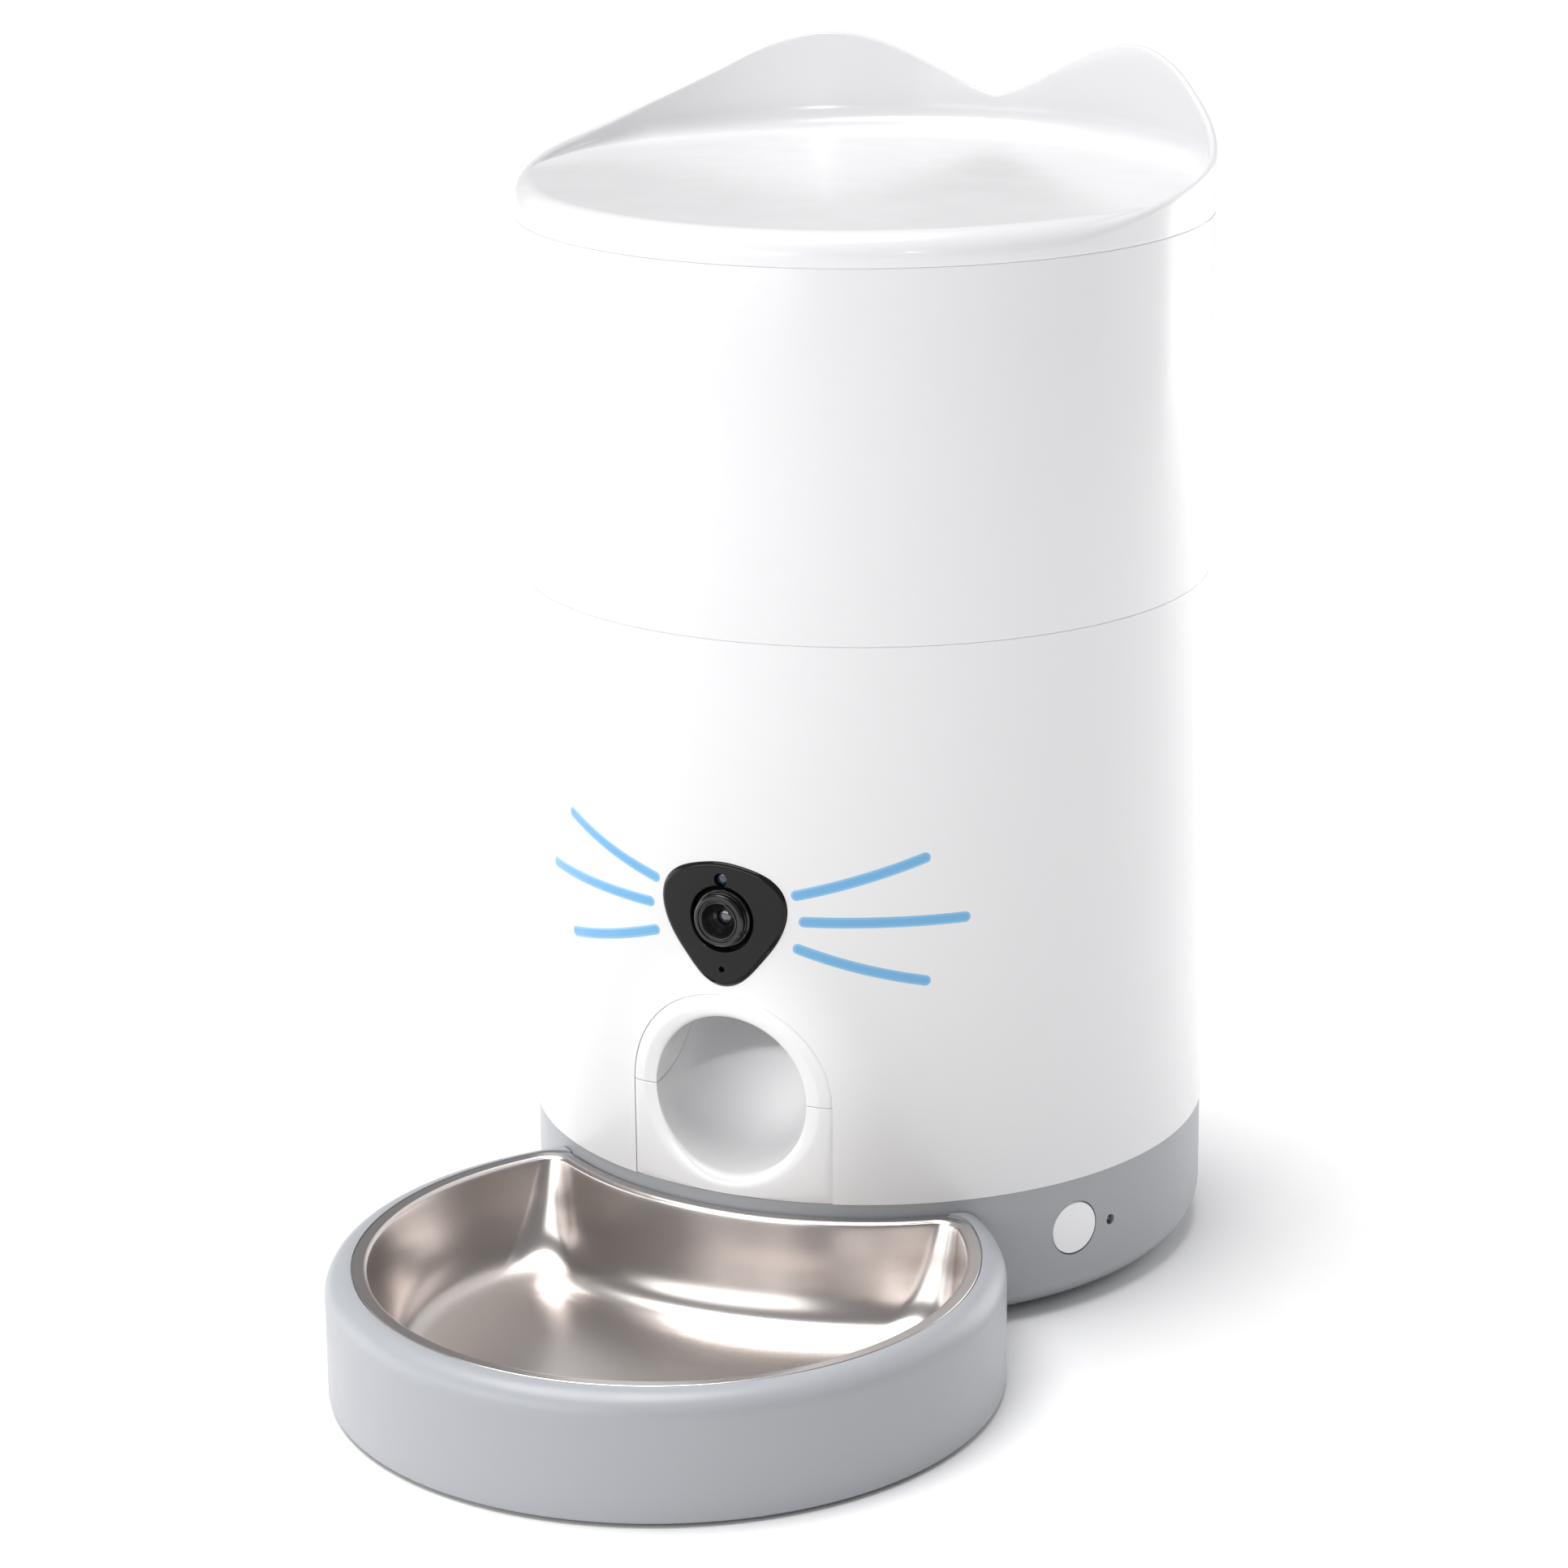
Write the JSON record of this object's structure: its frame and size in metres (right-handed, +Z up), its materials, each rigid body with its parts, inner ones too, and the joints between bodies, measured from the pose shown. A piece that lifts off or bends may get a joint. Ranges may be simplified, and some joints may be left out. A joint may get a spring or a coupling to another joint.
{
  "type": "automatic pet feeder",
  "caption": "Round white pet food feeder with two ear peaks on its lid, a nose-shaped camera window, blue whisker strips, a grey base and a steel bowl docked in front.",
  "frame": {"origin": "on the floor, under the axis of the round tower", "axes": "+Z up along the axis of the tower, -Y to the front where the bowl is docked, +X to the right as seen from the front"},
  "size_m": [0.205, 0.3412, 0.3524],
  "materials": {
    "white_shell": "gloss",
    "grey_shell": "satin",
    "button_white": "gloss",
    "window_black": "gloss",
    "black_plastic": "satin",
    "lens_glass": "polished",
    "sensor_lens": "polished",
    "light_lens": "gloss",
    "whisker_blue": "gloss",
    "cup_plastic": "gloss",
    "rotor_orange": "satin",
    "soft_silicone": "soft",
    "paper_pack": "matte",
    "gear_plastic": "satin",
    "brass_pinion": "machined",
    "bronze_bushing": "machined",
    "plain_steel": "machined",
    "bowl_steel": "mirror polished",
    "board_green": "satin",
    "foot_rubber": "soft"
  },
  "bodies": {
    "base": {"base_shell": "grey_shell", "base_feet": "foot_rubber", "base_screws": "plain_steel", "dock_screws": "plain_steel", "lower_housing": "white_shell", "hopper_dock": "grey_shell", "outlet_gasket": "soft_silicone", "drop_tube": "white_shell", "chute_hood": "white_shell", "chute_panel": "white_shell", "gearbox_case": "black_plastic", "gearbox_cover": "black_plastic", "gearbox_screws": "plain_steel", "gear_pins": "plain_steel", "output_bushing": "bronze_bushing", "motor": "plain_steel", "camera_window": "window_black", "lens_barrel": "black_plastic", "lens_glass": "lens_glass", "camera_board": "board_green", "light_sensor": "sensor_lens", "microphone": "plain_steel", "whisker_strips": "whisker_blue", "main_board": "board_green", "battery_box": "black_plastic", "battery_contacts": "plain_steel", "speaker": "black_plastic", "power_socket": "plain_steel", "button_switch": "board_green", "status_light": "light_lens"},
    "tank": {"hopper": "white_shell", "rotor_cup": "cup_plastic", "outlet_guard": "cup_plastic"},
    "rotor": {"rotor_hub": "rotor_orange", "rotor_vanes": "soft_silicone", "agitator": "rotor_orange"},
    "lid": {"lid": "white_shell", "lid_liner": "white_shell", "lid_seal": "soft_silicone", "desiccant_cup": "white_shell", "desiccant_pack": "paper_pack"},
    "desiccant_cover": {"desiccant_cover": "white_shell"},
    "output": {"output_gear": "gear_plastic", "drive_dog": "gear_plastic"},
    "second_gear": {"second_gear": "gear_plastic"},
    "first_gear": {"first_gear": "gear_plastic"},
    "motor_rotor": {"motor_pinion": "brass_pinion", "motor_shaft": "plain_steel"},
    "feed_button": {"feed_button": "button_white"},
    "battery_door": {"battery_door": "grey_shell"},
    "holder": {"bowl_holder": "grey_shell", "holder_feet": "foot_rubber"},
    "bowl": {"steel_bowl": "bowl_steel"}
  },
  "joints": [
    {"name": "tank_lift", "type": "slide", "parent": "base", "child": "tank", "axis": [0, 0, 1], "range_m": [0, 0.06]},
    {"name": "lid_lift", "type": "slide", "parent": "tank", "child": "lid", "axis": [0, 0, 1], "range_m": [0, 0.06]},
    {"name": "cover_twist", "type": "hinge", "parent": "lid", "child": "desiccant_cover", "pos_m": [0, 0, 0.307], "axis": [0, 0, 1], "range_deg": [0, 35]},
    {"name": "rotor_spin", "type": "hinge", "parent": "tank", "child": "rotor", "pos_m": [0, 0, 0.19], "axis": [0, 0, 1], "continuous": true},
    {"name": "output_spin", "type": "hinge", "parent": "base", "child": "output", "pos_m": [0, 0, 0.162], "axis": [0, 0, 1], "continuous": true},
    {"name": "second_spin", "type": "hinge", "parent": "base", "child": "second_gear", "pos_m": [0, 0.022, 0.157], "axis": [0, 0, 1], "continuous": true},
    {"name": "first_spin", "type": "hinge", "parent": "base", "child": "first_gear", "pos_m": [0, 0.044, 0.151], "axis": [0, 0, 1], "continuous": true},
    {"name": "motor_spin", "type": "hinge", "parent": "base", "child": "motor_rotor", "pos_m": [0, 0.066, 0.15], "axis": [0, 0, 1], "continuous": true},
    {"name": "feed_press", "type": "slide", "parent": "base", "child": "feed_button", "axis": [-0.866, 0.5, 0], "range_m": [0, 0.001], "stiffness_N_per_m": 400},
    {"name": "holder_pull", "type": "slide", "parent": "base", "child": "holder", "axis": [0, -1, 0], "range_m": [0, 0.05]},
    {"name": "bowl_lift", "type": "slide", "parent": "holder", "child": "bowl", "axis": [0, 0, 1], "range_m": [0, 0.06]},
    {"name": "door_swing", "type": "hinge", "parent": "base", "child": "battery_door", "pos_m": [0, 0.0685, 0.0025], "axis": [1, 0, 0], "range_deg": [0, 75]}
  ],
  "couplings": [
    {"joint": "output_spin", "follows": "rotor_spin", "ratio": 1},
    {"joint": "second_spin", "follows": "rotor_spin", "ratio": -2.6667},
    {"joint": "first_spin", "follows": "rotor_spin", "ratio": 7.1111},
    {"joint": "motor_spin", "follows": "rotor_spin", "ratio": -18.963}
  ]
}
